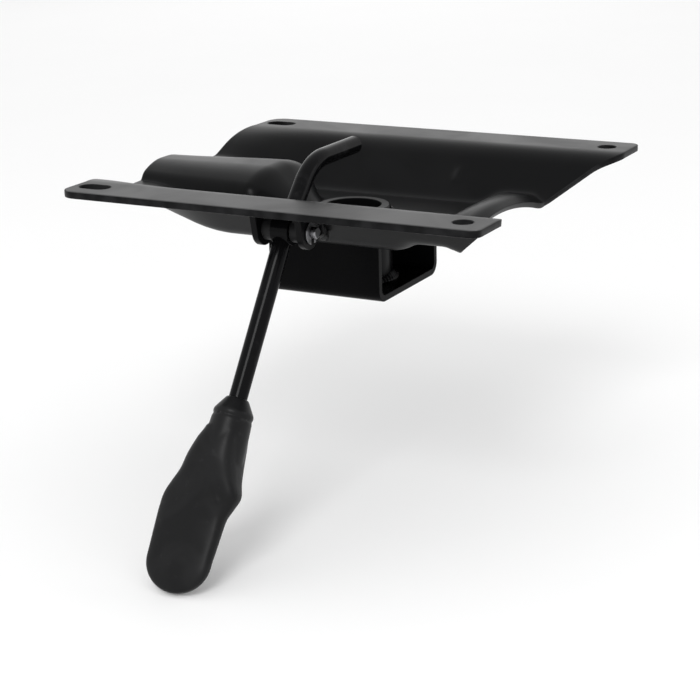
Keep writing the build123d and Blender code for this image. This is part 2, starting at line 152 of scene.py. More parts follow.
class Recipe:
    """Node tree of a material or a world, started empty."""

    def __init__(self, owner: Union[bpy.types.Material, bpy.types.World]) -> None:
        """Empties the tree.

        Args:
            owner: The new material or world.
        """
        self.owner = owner
        self.owner.use_nodes = True
        self.tree = self.owner.node_tree
        self.tree.nodes.clear()

    def node(self, kind: str, settings: dict, feeds: dict, output: Union[int, str] = 0) -> Wire:
        """Adds a node.

        Args:
            kind: The node's type.
            settings: Properties of the node, set before its sockets.
            feeds: Values or links of its inputs, by name or number.
            output: Name or number of the output that is wanted.

        Returns:
            The chosen output.
        """
        made = self.tree.nodes.new(kind)
        for name, value in settings.items():
            setattr(made, name, value)
        for name, value in feeds.items():
            if isinstance(value, Wire):
                self.tree.links.new(value.socket, made.inputs[name])
            else:
                made.inputs[name].default_value = value
        return Wire(self, made.outputs[output] if len(made.outputs) else None)

    def place(self) -> Wire:
        """Gives the Object coordinates, in metres."""
        return self.node("ShaderNodeTexCoord", {}, {}, "Object")

    def noise(self, where: Wire, pattern: Pattern) -> Wire:
        """Adds a noise.

        Args:
            where: Coordinates.
            pattern: What it is like.

        Returns:
            A value about one half, or from 0 to 1 where the pattern is spread.
        """
        feeds = {
            "Vector": where,
            "Scale": 1 / pattern.grain,
            "Detail": pattern.detail,
            "Distortion": pattern.distortion,
        }
        made = self.node("ShaderNodeTexNoise", {}, feeds)
        return made.ramp(*pattern.spread) if pattern.spread else made

    def mix(self, share: Feed, first: Union[Wire, Colour], second: Union[Wire, Colour]) -> Wire:
        """Mixes two colours.

        Args:
            share: Share of the second colour.
            first: The first colour.
            second: The second colour.

        Returns:
            The mixed colour.
        """
        feeds = {MIX_SHARE: share}
        for socket, colour in ((MIX_FIRST, first), (MIX_SECOND, second)):
            feeds[socket] = colour if isinstance(colour, Wire) else (*colour, 1.0)
        return self.node("ShaderNodeMix", {"data_type": "RGBA"}, feeds, MIXED_COLOUR)

    def edges(self) -> Wire:
        """Gives the share of edge wear that the mesh carries."""
        settings = {"attribute_type": "GEOMETRY", "attribute_name": EDGE_LAYER}
        return self.node("ShaderNodeAttribute", settings, {}, "Fac")

    def bump(self, height: Wire, depth: float, under: Optional[Wire] = None) -> Wire:
        """Turns a height into a normal.

        Args:
            height: The height, from 0 to 1.
            depth: Depth of a full step, in metres.
            under: Normal of a coarser bump, if there is one.

        Returns:
            The normal.
        """
        feeds = {"Height": height, "Distance": depth, "Strength": 1.0}
        if under is not None:
            feeds["Normal"] = under
        return self.node("ShaderNodeBump", {}, feeds)

    def close(
        self, colour: Wire, roughness: Feed, normal: Optional[Wire] = None, **others: float
    ) -> bpy.types.Material:
        """Ends the tree in a principled shader.

        Args:
            colour: Its base colour.
            roughness: Its roughness.
            normal: Its normal, where a bump gives one.
            others: Its other inputs, by name.

        Returns:
            The material.
        """
        feeds = {"Base Color": colour, "Roughness": roughness, **others}
        if normal is not None:
            feeds["Normal"] = normal
        shader = self.node("ShaderNodeBsdfPrincipled", {}, feeds)
        self.node("ShaderNodeOutputMaterial", {}, {"Surface": shader})
        return self.owner


class Finish(Protocol):
    """What every finish has."""

    name: str
    slot: Slot

    def make(self) -> bpy.types.Material:
        """Builds the material."""


def material_of(finish: Finish) -> bpy.types.Material:
    """Gives a finish's material, built once."""
    return bpy.data.materials.get(finish.name) or finish.make()


@dataclass(frozen=True)
class PowderCoat:
    """Black powder coat: fine orange peel, faint clouds, dust, and greyer paint on edges."""

    name: str = "powder_coat"
    slot: Slot = Slot.PLATE
    colour: Colour = (0.0030, 0.0031, 0.0034)
    cloud: Colour = (0.0042, 0.0043, 0.0046)
    edge: Colour = (0.022, 0.022, 0.023)
    roughness: float = 0.32
    cloud_swing: float = 0.07
    ior: float = 1.17
    dust: float = 0.20
    dust_dulling: float = 0.05
    wear: float = 0.4
    wear_dulling: float = 0.04
    clouds: Pattern = Pattern(34 * MILLIMETRE, 4.0, 0.6, (0.36, 0.68))
    specks: Pattern = Pattern(1.4 * MILLIMETRE, 3.0, 0.0, (0.70, 0.80))
    patches: Pattern = Pattern(7.5 * MILLIMETRE, 3.0, 0.0, (0.34, 0.66))
    peel: Pattern = Pattern(1.5 * MILLIMETRE, 1.0)
    peel_depth: float = 0.012 * MILLIMETRE
    grit: Pattern = Pattern(0.35 * MILLIMETRE)
    grit_depth: float = 0.0025 * MILLIMETRE

    def make(self) -> bpy.types.Material:
        """Builds the material.

        Returns:
            The material.
        """
        recipe = Recipe(bpy.data.materials.new(self.name))
        place = recipe.place()
        clouds = recipe.noise(place, self.clouds)
        specks = recipe.noise(place, self.specks)
        worn = recipe.edges() * recipe.noise(place, self.patches)
        colour = recipe.mix(clouds, self.colour, self.cloud)
        colour = recipe.mix(specks * self.dust, colour, self.edge)
        colour = recipe.mix(worn * self.wear, colour, self.edge)
        dulled = specks * self.dust_dulling + worn * self.wear_dulling
        roughness = self.roughness + (clouds - 0.5) * self.cloud_swing + dulled
        peel = recipe.bump(recipe.noise(place, self.peel), self.peel_depth)
        normal = recipe.bump(recipe.noise(place, self.grit), self.grit_depth, peel)
        return recipe.close(colour, roughness, normal, IOR=self.ior)


@dataclass(frozen=True)
class WeldPaint:
    """Powder coat over a weld bead: black, pitted, and rubbed grey on some of the crests."""

    name: str = "weld_paint"
    slot: Slot = Slot.WELD
    colour: Colour = (0.0040, 0.0040, 0.0044)
    crest: Colour = (0.030, 0.030, 0.031)
    roughness: float = 0.34
    patch_swing: float = 0.2
    ior: float = 1.23
    crest_share: float = 0.7
    crest_spread: tuple[float, float] = (0.35, 0.85)
    patches: Pattern = Pattern(5.4 * MILLIMETRE, 3.0, 0.0, (0.42, 0.66))
    pits: Pattern = Pattern(0.9 * MILLIMETRE, 3.0, 0.4)
    pit_depth: float = 0.06 * MILLIMETRE

    def make(self) -> bpy.types.Material:
        """Builds the material.

        Returns:
            The material.
        """
        recipe = Recipe(bpy.data.materials.new(self.name))
        place = recipe.place()
        pits = recipe.noise(place, self.pits)
        patches = recipe.noise(place, self.patches)
        crests = recipe.edges() * self.crest_share + pits * (1 - self.crest_share)
        colour = recipe.mix(crests.ramp(*self.crest_spread) * patches, self.colour, self.crest)
        roughness = self.roughness + (patches - 0.5) * self.patch_swing
        normal = recipe.bump(pits, self.pit_depth)
        return recipe.close(colour, roughness, normal, IOR=self.ior)


@dataclass(frozen=True)
class Enamel:
    """Gloss black enamel on a drawn rod, with a faint waviness and scuffs."""

    name: str = "rod_enamel"
    slot: Slot = Slot.ROD
    colour: Colour = (0.0032, 0.0032, 0.0036)
    rubbed: Colour = (0.024, 0.024, 0.025)
    roughness: float = 0.15
    ripple_swing: float = 0.06
    ior: float = 1.16
    scuffing: float = 0.35
    scuff_dulling: float = 0.10
    scuffs: Pattern = Pattern(9 * MILLIMETRE, 5.0, 0.8, (0.52, 0.74))
    ripple: Pattern = Pattern(3.2 * MILLIMETRE)
    ripple_depth: float = 0.010 * MILLIMETRE

    def make(self) -> bpy.types.Material:
        """Builds the material.

        Returns:
            The material.
        """
        recipe = Recipe(bpy.data.materials.new(self.name))
        place = recipe.place()
        ripple = recipe.noise(place, self.ripple)
        scuffs = recipe.noise(place, self.scuffs)
        colour = recipe.mix(scuffs * self.scuffing, self.colour, self.rubbed)
        dulled = scuffs * self.scuff_dulling
        roughness = self.roughness + dulled + (ripple - 0.5) * self.ripple_swing
        normal = recipe.bump(ripple, self.ripple_depth)
        return recipe.close(colour, roughness, normal, IOR=self.ior)


@dataclass(frozen=True)
class BrightZinc:
    """Bright zinc plate on turned steel, lightly spangled and stained."""

    name: str = "bright_zinc"
    slot: Slot = Slot.STEEL
    colour: Colour = (0.27, 0.27, 0.28)
    dull: Colour = (0.10, 0.10, 0.097)
    roughness: float = 0.34
    spangle_swing: float = 0.1
    stain_dulling: float = 0.18
    stains: Pattern = Pattern(4 * MILLIMETRE, 3.0, 0.0, (0.45, 0.7))
    spangle: Pattern = Pattern(0.8 * MILLIMETRE, 3.0, 0.3)
    spangle_depth: float = 0.006 * MILLIMETRE

    def make(self) -> bpy.types.Material:
        """Builds the material.

        Returns:
            The material.
        """
        recipe = Recipe(bpy.data.materials.new(self.name))
        place = recipe.place()
        spangle = recipe.noise(place, self.spangle)
        stains = recipe.noise(place, self.stains)
        colour = recipe.mix(stains, self.colour, self.dull)
        dulled = stains * self.stain_dulling
        roughness = self.roughness + dulled + (spangle - 0.5) * self.spangle_swing
        normal = recipe.bump(spangle, self.spangle_depth)
        return recipe.close(colour, roughness, normal, Metallic=1.0)


@dataclass(frozen=True)
class MouldedPlastic:
    """Satin moulded plastic with a fine etched grain and faint flow marks."""

    name: str
    slot: Slot
    colour: Colour
    flow: Colour
    edge: Colour
    roughness: float
    grain_swing: float = 0.12
    flow_swing: float = 0.08
    ior: float = 1.23
    edge_wear: float = 0.5
    scuffing: float = 0.22
    scuff_dulling: float = 0.05
    flow_marks: Pattern = Pattern(22 * MILLIMETRE, 3.0, 1.4, (0.38, 0.68))
    scuffs: Pattern = Pattern(3.15 * MILLIMETRE, 6.0, 0.2, (0.60, 0.76))
    grain: Pattern = Pattern(0.45 * MILLIMETRE)
    grain_depth: float = 0.010 * MILLIMETRE

    def make(self) -> bpy.types.Material:
        """Builds the material.

        Returns:
            The material.
        """
        recipe = Recipe(bpy.data.materials.new(self.name))
        place = recipe.place()
        grain = recipe.noise(place, self.grain)
        flow = recipe.noise(place, self.flow_marks)
        scuffs = recipe.noise(place, self.scuffs)
        colour = recipe.mix(flow, self.colour, self.flow)
        worn = recipe.edges() * self.edge_wear + scuffs * self.scuffing
        colour = recipe.mix(worn, colour, self.edge)
        uneven = (grain - 0.5) * self.grain_swing + (flow - 0.5) * self.flow_swing
        roughness = self.roughness + uneven + scuffs * self.scuff_dulling
        normal = recipe.bump(grain, self.grain_depth)
        return recipe.close(colour, roughness, normal, IOR=self.ior)


POWDER_COAT = PowderCoat()
# A darker, less reflective copy of the powder coat, with fainter clouds and dust. Its darkness is
# painted shade: the bracket is coated like the plate and only sits in shade under the flange.
SHADED_BRACKET_COAT = PowderCoat(
    "bracket_coat_painted_shade",
    colour=(0.0024, 0.0024, 0.0027),
    cloud=(0.0028, 0.0028, 0.0031),
    roughness=0.27,
    cloud_swing=0.03,
    ior=1.11,
    dust=0.06,
)
WELD_PAINT = WeldPaint()
ROD_ENAMEL = Enamel()
BRIGHT_ZINC = BrightZinc()
GRIP_PLASTIC = MouldedPlastic(
    "satin_grip",
    Slot.GRIP,
    colour=(0.0062, 0.0063, 0.0067),
    flow=(0.0088, 0.0089, 0.0094),
    edge=(0.028, 0.028, 0.029),
    roughness=0.38,
)
SPACER_NYLON = MouldedPlastic(
    "spacer_nylon",
    Slot.SPACER,
    colour=(0.012, 0.012, 0.0125),
    flow=(0.016, 0.016, 0.0165),
    edge=(0.034, 0.034, 0.034),
    roughness=0.48,
)


def shade(mesh: bpy.types.Mesh, crease: float) -> None:
    """Shades a mesh smooth, with sharp edges past an angle in degrees."""
    mesh.polygons.foreach_set("use_smooth", [True] * len(mesh.polygons))
    mesh.set_sharp_from_angle(angle=radians(crease))


def loose_object(shape: bmesh.types.BMesh, name: str) -> bpy.types.Object:
    """Turns a shape into an object at the origin.

    Args:
        shape: The shape, which is used up.
        name: The object's name.

    Returns:
        The object.
    """
    mesh = bpy.data.meshes.new(name)
    shape.to_mesh(mesh)
    shape.free()
    made = bpy.data.objects.new(name, mesh)
    bpy.context.scene.collection.objects.link(made)
    return made


def make_piece(
    shape: bmesh.types.BMesh,
    name: str,
    body: Body,
    finish: Finish,
    node: str,
    worn_angle: float = WORN_ANGLE,
) -> bpy.types.Object:
    """Turns a finished shape into a piece of the part.

    Args:
        shape: The shape, which is used up.
        name: The piece's name.
        body: What it rides on.
        finish: Its finish.
        node: The frame's node that it is shown for.
        worn_angle: Angle in degrees past which an edge wears.

    Returns:
        The piece.
    """
    mark_worn_edges(shape, worn_angle)
    piece = loose_object(shape, name)
    shade(piece.data, CREASE)
    piece.data.materials.append(material_of(finish))
    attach(piece, body.value)
    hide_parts(node)
    return piece


def settle(piece: bpy.types.Object, crease: float = CREASE) -> None:
    """Puts a piece's modifiers into its mesh.

    Args:
        piece: The piece.
        crease: Angle in degrees past which an edge is shaded sharp.
    """
    depsgraph = bpy.context.evaluated_depsgraph_get()
    mesh = bpy.data.meshes.new_from_object(piece.evaluated_get(depsgraph))
    piece.modifiers.clear()
    shape = bmesh.new()
    shape.from_mesh(mesh)
    mark_worn_edges(shape, WORN_ANGLE)
    shape.to_mesh(mesh)
    shape.free()
    shade(mesh, crease)
    piece.data = mesh


def cut(piece: bpy.types.Object, cutters: Sequence[bpy.types.Object]) -> None:
    """Cuts closed shapes from a piece and removes them.

    Args:
        piece: The piece.
        cutters: The closed shapes.
    """
    for cutter in cutters:
        modifier = piece.modifiers.new("cut", "BOOLEAN")
        modifier.operation = "DIFFERENCE"
        modifier.solver = "EXACT"
        modifier.object = cutter
    settle(piece)
    for cutter in cutters:
        bpy.data.objects.remove(cutter)


def is_outer_corner(edge: bmesh.types.BMEdge, angle: float) -> bool:
    """Tells whether an edge is convex and sharper than an angle in degrees."""
    return edge.is_manifold and edge.is_convex and edge.calc_face_angle() > radians(angle)


def wear_layer(shape: bmesh.types.BMesh) -> bmesh.types.BMLayerItem:
    """Layer of edge wear that the finishes read."""
    return shape.verts.layers.float.get(EDGE_LAYER) or shape.verts.layers.float.new(EDGE_LAYER)


def mark_worn_edges(shape: bmesh.types.BMesh, angle: float) -> None:
    """Marks the points along outer edges, where paint wears.

    Args:
        shape: The shape.
        angle: Angle in degrees past which an edge wears.
    """
    layer = wear_layer(shape)
    shape.normal_update()
    for vertex in shape.verts:
        vertex[layer] = float(any(is_outer_corner(edge, angle) for edge in vertex.link_edges))


def copy_of(node: str) -> bmesh.types.BMesh:
    """Copies a node of the frame as one merged shape.

    Args:
        node: The node's name.

    Returns:
        The shape.
    """
    shape = bmesh.new()
    shape.from_mesh(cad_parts[node].data)
    bmesh.ops.remove_doubles(shape, verts=shape.verts, dist=MERGE_WITHIN)
    bmesh.ops.dissolve_limit(shape, angle_limit=LEVEL_WITHIN, verts=shape.verts, edges=shape.edges)
    return shape


def blend(start: float, end: float, share: float) -> float:
    """Value that lies the given share of the way from start to end."""
    return start + (end - start) * share


def held(value: float) -> float:
    """Value held between 0 and 1."""
    return min(max(value, 0.0), 1.0)


def ease(share: float) -> float:
    """Share held between 0 and 1, with smooth ends."""
    return held(share) ** 2 * (3 - 2 * held(share))


def soft_min(first: float, second: float, reach: float) -> float:
    """Lesser of two values, with the change rounded over a reach."""
    overlap = max(reach - abs(first - second), 0.0) / reach
    return min(first, second) - overlap * overlap * reach / 4


def soft_max(first: float, second: float, reach: float) -> float:
    """Greater of two values, with the change rounded over a reach."""
    return -soft_min(-first, -second, reach)


@dataclass(frozen=True)
class Bands:
    """Lines of a grid in bands of even cells, each with its start and its number of cells."""

    starts: tuple[float, ...]
    cells: tuple[int, ...]

    def count(self) -> int:
        """Gives the number of cells."""
        return sum(self.cells)

    def line(self, share: float) -> float:
        """Finds a line, with half a cell of slack against rounding.

        Args:
            share: Share of the grid's cells that lie before the line.

        Returns:
            Its place.
        """
        index = share * self.count()
        for band, cells in enumerate(self.cells):
            if index <= cells + 0.5:
                return blend(self.starts[band], self.starts[band + 1], min(index / cells, 1.0))
            index -= cells
        return self.starts[-1]


@dataclass(frozen=True)
class Channel:
    """Channel between the flanges, its rear lifted by a ramp. Depths are below the seat face."""

    floor_depth: float = 0.023
    rear_depth: float = 0.0105
    floor_half: float = 0.040
    flange_inner: float = 0.074
    flange_bend: float = 0.020
    rear_flange_bend: float = 0.050
    floor_bend: float = 0.008
    ramp_foot: float = -0.048
    ramp_top: float = -0.086
    ramp_ease: float = 0.005

    def share_of_ramp(self, x: float) -> float:
        """Tells how far up the ramp a place is, with eased ends.

        Args:
            x: The place.

        Returns:
            The share that has been climbed.
        """
        length = self.ramp_foot - self.ramp_top
        climbed = (self.ramp_foot - x) / length
        eased = self.ramp_ease / length
        return soft_max(soft_min(climbed, 1.0, 2 * eased), 0.0, 2 * eased)

    def depth(self, x: float, y: float) -> float:
        """Gives the depth of the channel's skin.

        Args:
            x: Place along the plate.
            y: Place across it.

        Returns:
            The depth.
        """
        front = self.section(y, self.floor_depth, self.flange_bend)
        rear = self.section(y, self.rear_depth, self.rear_flange_bend)
        return blend(front, rear, self.share_of_ramp(x))

    def section(self, y: float, floor: float, bend: float) -> float:
        """Gives the depth across one section of the channel.

        Args:
            y: Distance from the middle.
            floor: Depth of the floor.
            bend: Radius of the bend from flange to wall.

        Returns:
            The depth.
        """
        across = self.flange_inner - self.floor_half
        rise = floor - bend - self.floor_bend
        slope = atan2(rise, across) + asin((bend + self.floor_bend) / hypot(across, rise))
        side = abs(y)
        if side >= self.flange_inner:
            return 0.0
        if side <= self.floor_half:
            return floor
        if side > self.flange_inner - bend * sin(slope):
            return bend - sqrt(bend**2 - (self.flange_inner - side) ** 2)
        if side < self.floor_half + self.floor_bend * sin(slope):
            past_floor = side - self.floor_half
            return floor - self.floor_bend + sqrt(self.floor_bend**2 - past_floor**2)
        bend_end = self.flange_inner - bend * sin(slope)
        return bend * (1 - cos(slope)) + (bend_end - side) * tan(slope)


@dataclass(frozen=True)
class Hump:
    """Rounded hump at the rear, with a sloping nose drawn in to a toe."""

    top: float = 0.0020
    rear_top: float = 0.0032
    rear_x: float = -0.103
    rear_flat: float = 0.0025
    rear_half: float = 0.020
    front_flat: float = 0.0050
    front_half: float = 0.027
    flank: float = radians(74)
    crown: float = radians(27)
    shoulder: float = 0.007
    nose_x: float = -0.038
    nose_angle: float = radians(50)
    nose_round: float = 0.009
    toe_flat: float = 0.0015
    toe_half: float = 0.0075
    toe_flank: float = radians(46)
    toe_shoulder: float = 0.005
    toe_depth: float = 0.026

    def front_x(self) -> float:
        """Place where the roof starts to turn down."""
        return self.nose_x - self.nose_round * tan(self.nose_angle / 2)

    def half_width(self, x: float) -> float:
        """Half width of the hump behind its nose."""
        return blend(self.rear_half, self.front_half, self.share_of_length(x))

    def share_of_length(self, x: float) -> float:
        """Share of the way from the rear to the nose."""
        return min((x - self.rear_x) / (self.front_x() - self.rear_x), 1.0)

    def roof(self, x: float) -> float:
        """Gives the depth of the roof's centre line.

        Args:
            x: Place along the plate.

        Returns:
            The depth.
        """
        start = self.front_x()
        arc_end = start + self.nose_round * sin(self.nose_angle)
        if x <= start:
            return blend(self.rear_top, self.top, ease(self.share_of_length(x)))
        if x <= arc_end:
            return self.top + self.nose_round - sqrt(self.nose_round**2 - (x - start) ** 2)
        drop = self.nose_round * (1 - cos(self.nose_angle))
        return self.top + drop + (x - arc_end) * tan(self.nose_angle)

    def depth(self, x: float, y: float) -> float:
        """Gives the depth of the hump's skin.

        Args:
            x: Place along the plate.
            y: Place across it.

        Returns:
            The depth.
        """
        roof = self.roof(x)
        past_roof = (roof - self.top) / (self.toe_depth - self.top)
        fall = held(past_roof) if x > self.front_x() else 0.0
        behind_nose = blend(self.rear_flat, self.front_flat, self.share_of_length(x))
        flat = blend(behind_nose, self.toe_flat, fall)
        half = blend(self.half_width(x), self.toe_half, fall)
        flank = blend(self.flank, self.toe_flank, fall)
        shoulder = blend(self.shoulder, self.toe_shoulder, fall)
        inward = (half - flat - shoulder * sin(flank)) / sin(self.crown)
        radius = inward + shoulder
        side = max(abs(y) - flat, 0.0)
        if side <= radius * sin(self.crown):
            return roof + radius - sqrt(radius**2 - side**2)
        centre = inward * sin(self.crown)
        centre_depth = roof + radius - inward * cos(self.crown)
        if side <= centre + shoulder * sin(flank):
            return centre_depth - sqrt(shoulder**2 - (side - centre) ** 2)
        beyond = side - centre - shoulder * sin(flank)
        return centre_depth - shoulder * cos(flank) + beyond * tan(flank)


@dataclass(frozen=True)
class Ridge:
    """Low arched ridge across the front of the channel."""

    crest: float = 0.0115
    foot_depth: float = 0.023
    half: float = 0.062
    rear_x: float = 0.046
    crest_x: float = 0.062
    crest_length: float = 0.0055
    front_angle: float = radians(31)
    front_round: float = 0.008
    fillet: float = 0.004

    def depth(self, x: float, y: float) -> float:
        """Gives the depth of the ridge's skin.

        Args:
            x: Place along the plate.
            y: Place across it.

        Returns:
            The depth.
        """
        sag = self.foot_depth - self.crest
        radius = (self.half**2 + sag**2) / (2 * sag)
        arch = radius - sqrt(radius**2 - y**2)
        climb = (self.crest_x - x) * sag / (self.crest_x - self.rear_x)
        bend = self.crest_x + self.crest_length
        arc_end = bend + self.front_round * sin(self.front_angle)
        drop = 0.0
        if x > arc_end:
            drop = self.front_round * (1 - cos(self.front_angle))
            drop += (x - arc_end) * tan(self.front_angle)
        elif x > bend:
            drop = self.front_round - sqrt(self.front_round**2 - (x - bend) ** 2)
        return self.crest + soft_max(climb, arch + drop, self.fillet)


@dataclass(frozen=True)
class WallPip:
    """Small teardrop pressed up in the far wall."""

    x: float = 0.028
    y: float = 0.0535
    length: float = 0.0048
    width: float = 0.0023
    height: float = 0.0019
    point: float = 0.45
    side_fall: float = 1.6
    end_fall: float = 1.7

    def rise(self, x: float, y: float) -> float:
        """Gives the height of the pip over the wall.

        Args:
            x: Place along the plate.
            y: Place across it.

        Returns:
            The height.
        """
        along = (y - self.y) / self.length
        across = (x - self.x) / (self.width * blend(1.0, self.point, ease(along + 0.5)))
        return self.height * exp(-self.side_fall * across**2 - (self.end_fall * along) ** 4)


@dataclass
class PressedPlate:
    """The 3 mm pressing: flanges, channel, ramp, hump and ridge, with its holes and window."""

    seat: float = 0.055
    sheet: float = 0.003
    front: float = 0.1045
    rear: float = -0.0955
    half_width: float = 0.095
    rear_corner: float = 0.008
    front_corner: float = 0.0045
    rear_bow: float = 0.0075
    notch_front: float = 0.068
    notch_back: float = 0.046
    notch_round: float = 0.006
    floor_front: float = 0.076
    front_draw: float = 0.002
    hole_row: float = 0.082
    bolt_x: float = 0.0925
    bolt_radius: float = 0.00425
    slot_x: float = -0.0845
    slot_length: float = 0.015
    window_width: float = 0.016
    window_low: float = -0.064
    window_high: float = -0.0455
    window_corner: float = 0.003
    socket_radius: float = 0.01755
    socket_depth: float = 0.023
    rim_round: float = 0.00035
    rim_angle: float = radians(50)
    rim_segments: int = 2
    hole_round: float = 0.0004
    corner_cuts: int = 12
    columns: Bands = Bands((-0.0955, -0.012, 0.044, 0.1045), (92, 30, 46))
    rows: Bands = Bands((-0.095, -0.074, -0.034, 0.034, 0.074, 0.095), (10, 34, 74, 34, 10))
    hump_reach: float = 0.031
    front_zone: float = 0.056
    rear_zone: float = -0.082
    hump_fillet: float = 0.007
    ridge_fillet: float = 0.004
    channel: Channel = field(default_factory=Channel)
    hump: Hump = field(default_factory=Hump)
    ridge: Ridge = field(default_factory=Ridge)
    pip: WallPip = field(default_factory=WallPip)

    def depth(self, x: float, y: float) -> float:
        """Gives the depth of the finished skin below the seat face.

        Args:
            x: Place along the plate.
            y: Place across it.

        Returns:
            The depth.
        """
        skin = self.channel.depth(x, y) - self.pip.rise(x, y)
        if x < 0:
            skin = soft_min(skin, self.hump.depth(x, y), self.hump_fillet)
        elif abs(y) < self.channel.flange_inner:
            skin = soft_min(skin, self.ridge.depth(x, y), self.ridge_fillet)
        return max(skin, 0.0)

    def front_edge(self, y: float) -> float:
        """Gives the place of the front edge in plan.

        Args:
            y: Place across the plate.

        Returns:
            Its place along the plate.
        """
        side = abs(y)
        if side <= self.notch_back:
            return self.floor_front - self.front_draw * (1 - (side / self.notch_back) ** 2)
        run = (self.front - self.floor_front) / (self.notch_front - self.notch_back)
        slanted = self.floor_front + (side - self.notch_back) * run
        return soft_min(slanted, self.front, self.notch_round)

    def rear_edge(self, y: float) -> float:
        """Gives the place of the rear edge in plan, bowed out between the flanges.

        Args:
            y: Place across the plate.

        Returns:
            Its place along the plate.
        """
        inner = self.channel.flange_inner
        if abs(y) >= inner:
            return self.rear
        radius = (inner**2 + self.rear_bow**2) / (2 * self.rear_bow)
        return self.rear + radius - self.rear_bow - sqrt(radius**2 - y**2)

    def place(self, column: float, row: float) -> Vector:
        """Moves a point of the even grid to its place in plan.

        Args:
            column: Share of the way from the rear to the front.
            row: Share of the way from the near side to the far side.

        Returns:
            The point.
        """
        x = self.columns.line(column)
        y = self.rows.line(row)
        squeeze = self.hump.half_width(min(x, self.hump.nose_x)) / self.hump.front_half
        squeeze = blend(squeeze, 1.0, ease((x - self.hump.nose_x) / abs(self.hump.nose_x)))
        outward = ease((abs(y) - self.hump_reach) / (self.channel.flange_inner - self.hump_reach))
        y *= blend(squeeze, 1.0, outward)
        if x > self.front_zone:
            share = (x - self.front_zone) / (self.front - self.front_zone)
            x = blend(self.front_zone, self.front_edge(y), share)
        if x < self.rear_zone:
            share = (x - self.rear_zone) / (self.rear - self.rear_zone)
            x = blend(self.rear_zone, self.rear_edge(y), share)
        return Vector((x, y, 0.0))

    def round_outline(self, shape: bmesh.types.BMesh) -> None:
        """Cuts the four corners of the flat grid to arcs.

        Args:
            shape: The grid.
        """
        for end, radius in ((self.rear, self.rear_corner), (self.front, self.front_corner)):
            toward = copysign(1.0, end)
            for side in (-1, 1):
                centre = Vector((end - toward * radius, side * (self.half_width - radius), 0))
                for step in range(self.corner_cuts):
                    angle = pi / 2 * (step + 0.5) / self.corner_cuts
                    outward = Vector((toward * cos(angle), side * sin(angle), 0))
                    parts = {}  # keeps its order, unlike a set, so each run splits the faces alike
                    for face in shape.faces:
                        away = face.calc_center_median() - centre
                        if away.x * toward > -radius and away.y * side > -radius:
                            parts.update(dict.fromkeys((*face.verts, *face.edges, face)))
                    bmesh.ops.bisect_plane(
                        shape,
                        geom=list(parts),
                        dist=TINY,
                        plane_co=centre + outward * radius,
                        plane_no=outward,
                        clear_outer=True,
                    )

    def skin(self) -> bmesh.types.BMesh:
        """Builds the upper skin as a grid that follows the outline.

        Returns:
            The open skin.
        """
        shape = bmesh.new()
        cells = (self.columns.count(), self.rows.count())
        bmesh.ops.create_grid(shape, x_segments=cells[0], y_segments=cells[1], size=0.5)
        for vertex in shape.verts:
            vertex.co = self.place(vertex.co.x + 0.5, vertex.co.y + 0.5)
        self.round_outline(shape)
        for vertex in shape.verts:
            vertex.co.z = self.seat - self.depth(vertex.co.x, vertex.co.y)
        return shape

    def flared(self) -> tuple[tuple[float, float], ...]:
        """Describes the walls of a cutter that breaks both edges of its hole in a flange.

        Returns:
            Heights from low to high, each with how much wider the cutter is there.
        """
        flare = 2 * self.hole_round
        return (
            (self.seat - 2 * self.sheet, flare),
            (self.seat - self.sheet - self.hole_round, flare),
            (self.seat - self.sheet + self.hole_round, 0.0),
            (self.seat - self.hole_round, 0.0),
            (self.seat + self.hole_round, flare),
            (self.seat + 2 * self.sheet, flare),
        )

    def cutters(self) -> list[bpy.types.Object]:
        """Makes the cutters of the bolt holes, slots, window and socket hole.

        Returns:
            The cutters.
        """
        made = []
        radius = self.bolt_radius
        for side in (-1, 1):
            for x, length in ((self.bolt_x, 2 * radius), (self.slot_x, self.slot_length)):
                centre = (x, side * self.hole_row)
                made.append(hole_cutter(centre, (length, 2 * radius), radius, self.flared()))
        centre = (0, (self.window_low + self.window_high) / 2)
        size = (self.window_width, self.window_high - self.window_low)
        through = ((self.seat - 2 * self.channel.floor_depth, 0.0), (2 * self.seat, 0.0))
        made.append(hole_cutter(centre, size, self.window_corner, through))
        size = (2 * self.socket_radius, 2 * self.socket_radius)
        floor = self.seat - self.socket_depth
        through = ((floor - 2 * self.sheet, 0.0), (floor + 2 * self.sheet, 0.0))
        made.append(hole_cutter((0, 0), size, self.socket_radius, through))
        return made

    def build(self) -> bpy.types.Object:
        """Gives the skin its thickness, breaks the rims, cuts the holes and dresses the plate.

        Returns:
            The piece.
        """
        plate = make_piece(self.skin(), "pressed_plate", Body.FRAME, POWDER_COAT, "seat_plate")
        sheet = plate.modifiers.new("sheet", "SOLIDIFY")
        sheet.thickness = self.sheet
        sheet.offset = -1.0
        sheet.use_even_offset = True
        rims = plate.modifiers.new("rims", "BEVEL")
        rims.limit_method = "ANGLE"
        rims.angle_limit = self.rim_angle
        rims.width = self.rim_round
        rims.segments = self.rim_segments
        rims.use_clamp_overlap = False
        settle(plate)
        cut(plate, self.cutters())
        return plate


